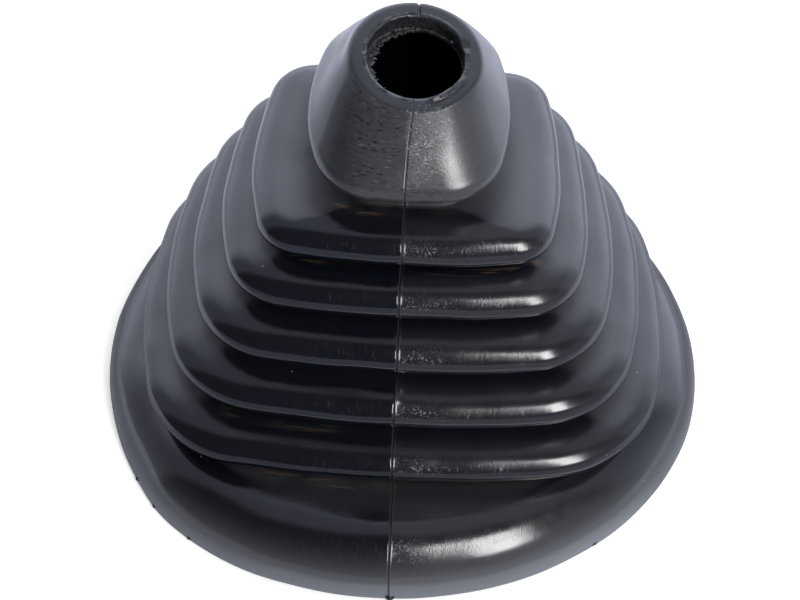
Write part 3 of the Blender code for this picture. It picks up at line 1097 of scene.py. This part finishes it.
def studio_world(stage):
    """Soft room light: brighter behind and to the right, dim on the left, and white to the camera."""
    world = bpy.data.worlds.new("white_studio")
    world.use_nodes = True
    tree = world.node_tree
    tree.nodes.clear()
    place = add_node(tree, "ShaderNodeTexCoord").outputs["Generated"]
    way = add_node(tree, "ShaderNodeSeparateXYZ", {0: place})
    x, y, z = (way.outputs[axis] for axis in "XYZ")
    upper = faded(tree, stage.upper_light, (y, -0.16, 0.04, 0, 1))
    low = faded(tree, stage.behind_light, (y, 0.24, 0.66, 0, 1))
    behind = add_node(tree, "ShaderNodeMath", (upper, low), operation="ADD")
    behind = faded(tree, behind, (z, -0.3, 0.1, 0, 1), (x, 0.1, -0.5, 1, stage.left_share))
    right = faded(tree, stage.right_light, (x, 0.0, 0.9, 0, 1), (z, 0.75, 0.40, 0, 1))
    light = stage.room_light
    for part in (behind, right):
        light = add_node(tree, "ShaderNodeMath", (part, light), operation="ADD")
    path = add_node(tree, "ShaderNodeLightPath")
    strength = add_node(
        tree, "ShaderNodeMix", {0: path.outputs["Is Camera Ray"], 2: light, 3: 1.0}, data_type="FLOAT"
    )
    tint = mirrored_tint(tree, path.outputs["Is Glossy Ray"], stage.window)
    sky = add_node(tree, "ShaderNodeBackground", {"Color": tint, "Strength": strength})
    add_node(tree, "ShaderNodeOutputWorld", {"Surface": sky})
    return world


def add_flake(mesh, root, out, across, length, width, thickness, chance):
    """Adds a torn sliver: it grows from root along out, tapers, and curls a little."""
    lift = out.cross(across).normalized()
    steps = len(FLAKE_TAPER) - 1
    rings = []
    for step, taper in enumerate(FLAKE_TAPER):
        curl = length * 0.18 * (step / steps) ** 2 * chance.uniform(-1, 1)
        centre = root + out * (length * step / steps) + lift * curl
        half = across * (width * taper * chance.uniform(0.35, 0.6))
        thick = lift * (thickness * (0.5 + 0.5 * taper) / 2)
        corners = [centre - half - thick, centre + half - thick, centre + half + thick, centre - half + thick]
        rings.append([mesh.verts.new(corner) for corner in corners])
    mesh.faces.new(rings[0][::-1])
    mesh.faces.new(rings[-1])
    for low, high in zip(rings, rings[1:]):
        for i in range(4):
            mesh.faces.new((low[i], low[(i + 1) % 4], high[(i + 1) % 4], high[i]))


def torn_pieces(skin, neck, wear, chance):
    """Slivers of the torn web, each grown from the nearest point of the hole's rim."""
    mesh = bmesh.new()
    level = BOOT_HIGH.z - neck.hole_length + 0.8 * MM
    for degrees, reach, run, width, rise in TORN_SLIVERS:
        outward, across = compass(degrees)
        # the rim dips at the front, so the search goes higher at the back
        target = outward * (reach * MM) + Vector((neck.lean, 0.0, level + outward.y * 2.0 * MM))
        root = skin.closest_point_on_mesh(target)[1] + outward * SLIVER_ROOT
        tip = (-outward + Vector((0.0, 0.0, rise))).normalized()
        add_flake(mesh, root, tip, across, run * MM, width * MM, wear.sliver_thickness, chance)
    return mesh


def flash_pieces(skin, wear, chance):
    """Nibs of flash, each grown from the nearest point of the lower edge."""
    mesh = bmesh.new()
    for degrees, run, width in EDGE_NIBS:
        outward, across = compass(degrees)
        target = outward * (BOOT_HIGH.x + MM) + Vector((0.0, 0.0, 0.9 * MM))
        root = skin.closest_point_on_mesh(target)[1] - outward * NIB_ROOT
        add_flake(mesh, root, outward, across, run * MM + NIB_ROOT, width * MM, wear.nib_thickness, chance)
    return mesh


def mesh_from_pieces(name, pieces):
    mesh = bpy.data.meshes.new(name)
    pieces.to_mesh(mesh)
    pieces.free()
    mesh.shade_smooth()
    return mesh


class BOOT_OT_skin(bpy.types.Operator):
    """Models the moulded rubber skin with its parting line, collar and wear"""

    bl_idname = "boot.skin"
    bl_label = "Rubber skin"

    def execute(self, context):
        scene = context.scene
        base, folds, neck, wear = scene.boot_base, scene.boot_folds, scene.boot_neck, scene.boot_wear
        rows = boot_rows(base, folds, neck, wear)
        grid = settle(mark_collar(grid_of(rows), rows, wear), base, neck, wear)
        normals = row_normals(grid)
        grid = raise_seam(grid, rows, normals, wear)
        masks = rubber_masks(grid, rows, normals)
        mesh = mesh_from_grid("boot_skin", grid)
        add_masks(mesh, masks)
        material = worn_rubber("moulded_rubber_worn", scene.boot_finish, masks)
        skin = finish_piece("boot_skin", mesh, material, boot_collection())
        mesh.materials.append(inner_rubber(scene.boot_finish))
        is_inside = np.repeat([not row.outside for row in rows], grid.shape[1])
        mesh.polygons.foreach_set("material_index", is_inside.astype(np.int32))
        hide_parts("boot")
        return {"FINISHED"}


class BOOT_OT_torn_web(bpy.types.Operator):
    """Models the slivers of the torn web in the lever hole"""

    bl_idname = "boot.torn_web"
    bl_label = "Torn web"

    def execute(self, context):
        scene = context.scene
        skin = bpy.data.objects["boot_skin"]
        pieces = torn_pieces(skin, scene.boot_neck, scene.boot_wear, random.Random(SLIVER_SEED))
        mesh = mesh_from_pieces("torn_web_slivers", pieces)
        finish_piece("torn_web_slivers", mesh, torn_rubber(scene.boot_finish), boot_collection())
        return {"FINISHED"}


class BOOT_OT_edge_flash(bpy.types.Operator):
    """Models the nibs of flash on the lower edge"""

    bl_idname = "boot.edge_flash"
    bl_label = "Edge flash"

    def execute(self, context):
        scene = context.scene
        pieces = flash_pieces(bpy.data.objects["boot_skin"], scene.boot_wear, random.Random(NIB_SEED))
        mesh = mesh_from_pieces("edge_flash_nibs", pieces)
        finish_piece("edge_flash_nibs", mesh, trimmed_flash(scene.boot_finish), boot_collection())
        return {"FINISHED"}


def pointing(eye, back, right, up):
    """The matrix of a camera or a lamp at eye, which looks along minus back."""
    matrix = Matrix((right, up, back)).transposed().to_4x4()
    matrix.translation = eye
    return matrix


def add_camera(stage):
    turn = Matrix.Rotation(stage.camera_turn, 3, "Z")
    back = turn @ Vector((0.0, -math.cos(stage.camera_elevation), math.sin(stage.camera_elevation)))
    level = turn @ Vector((1.0, 0.0, 0.0))
    upright = back.cross(level)
    right = level * math.cos(stage.camera_roll) + upright * math.sin(stage.camera_roll)
    up = back.cross(right)
    data = bpy.data.cameras.new("camera")
    data.sensor_width = 36
    data.lens = stage.camera_lens
    data.clip_start = 0.01
    camera = bpy.data.objects.new("camera", data)
    camera.matrix_world = pointing(Vector(stage.aim) + back * stage.camera_distance, back, right, up)
    bpy.context.scene.collection.objects.link(camera)
    bpy.context.scene.camera = camera


def add_lamp(stage):
    turn, rise = stage.lamp_turn, stage.lamp_elevation
    back = Vector((math.sin(turn) * math.cos(rise), -math.cos(turn) * math.cos(rise), math.sin(rise)))
    right = Vector((0.0, 0.0, 1.0)).cross(back).normalized()
    data = bpy.data.lights.new("soft_lamp", "AREA")
    data.shape = "RECTANGLE"
    data.size = stage.lamp_width
    data.size_y = stage.lamp_height
    data.energy = stage.lamp_power
    lamp = bpy.data.objects.new("soft_lamp", data)
    target = Vector((0.0, 0.0, (BOOT_LOW.z + BOOT_HIGH.z) / 2))
    lamp.matrix_world = pointing(target + back * stage.lamp_distance, back, right, back.cross(right))
    bpy.context.scene.collection.objects.link(lamp)


class BOOT_OT_stage(bpy.types.Operator):
    """Sets up the floor, the room light, the soft lamp and the camera"""

    bl_idname = "boot.stage"
    bl_label = "Stage"

    def execute(self, context):
        scene = context.scene
        stage = scene.boot_stage
        half = stage.floor_width / 2
        mesh = bpy.data.meshes.new("floor")
        corners = [(-half, -half, 0), (half, -half, 0), (half, half, 0), (-half, half, 0)]
        mesh.from_pydata(corners, [], [(0, 1, 2, 3)])
        mesh.materials.append(white_floor(stage))
        floor = bpy.data.objects.new("floor", mesh)
        scene.collection.objects.link(floor)
        scene.world = studio_world(stage)
        add_lamp(stage)
        add_camera(stage)
        scene.view_settings.view_transform = "Standard"
        return {"FINISHED"}


class BOOT_PT_sizes(bpy.types.Panel):
    """The boot's sizes, its finish and its stage"""

    bl_idname = "BOOT_PT_sizes"
    bl_label = "Gear Shift Boot"
    bl_space_type = "VIEW_3D"
    bl_region_type = "UI"
    bl_category = "Boot"

    def draw(self, context):
        for name, title, _ in SIZE_GROUPS:
            box = self.layout.box()
            box.label(text=title)
            group = getattr(context.scene, name)
            for key in group.__annotations__:
                box.prop(group, key)
        for operator in OPERATORS:
            self.layout.operator(operator.bl_idname)


SIZE_GROUPS = (
    ("boot_base", "Base", BootBaseSizes),
    ("boot_folds", "Folds", BootFoldSizes),
    ("boot_neck", "Neck", BootNeckSizes),
    ("boot_wear", "Wear", BootWearSizes),
    ("boot_finish", "Finish", BootFinish),
    ("boot_stage", "Stage", BootStageSizes),
)
OPERATORS = (BOOT_OT_skin, BOOT_OT_torn_web, BOOT_OT_edge_flash, BOOT_OT_stage)


def register():
    for name, _, group in SIZE_GROUPS:
        bpy.utils.register_class(group)
        setattr(bpy.types.Scene, name, bpy.props.PointerProperty(type=group))
    for kind in (*OPERATORS, BOOT_PT_sizes):
        bpy.utils.register_class(kind)


def unregister():
    for kind in (BOOT_PT_sizes, *reversed(OPERATORS)):
        bpy.utils.unregister_class(kind)
    for name, _, group in reversed(SIZE_GROUPS):
        delattr(bpy.types.Scene, name)
        bpy.utils.unregister_class(group)


def main():
    register()
    bpy.ops.boot.skin()
    bpy.ops.boot.torn_web()
    bpy.ops.boot.edge_flash()
    bpy.ops.boot.stage()


if __name__ == "__main__":
    main()
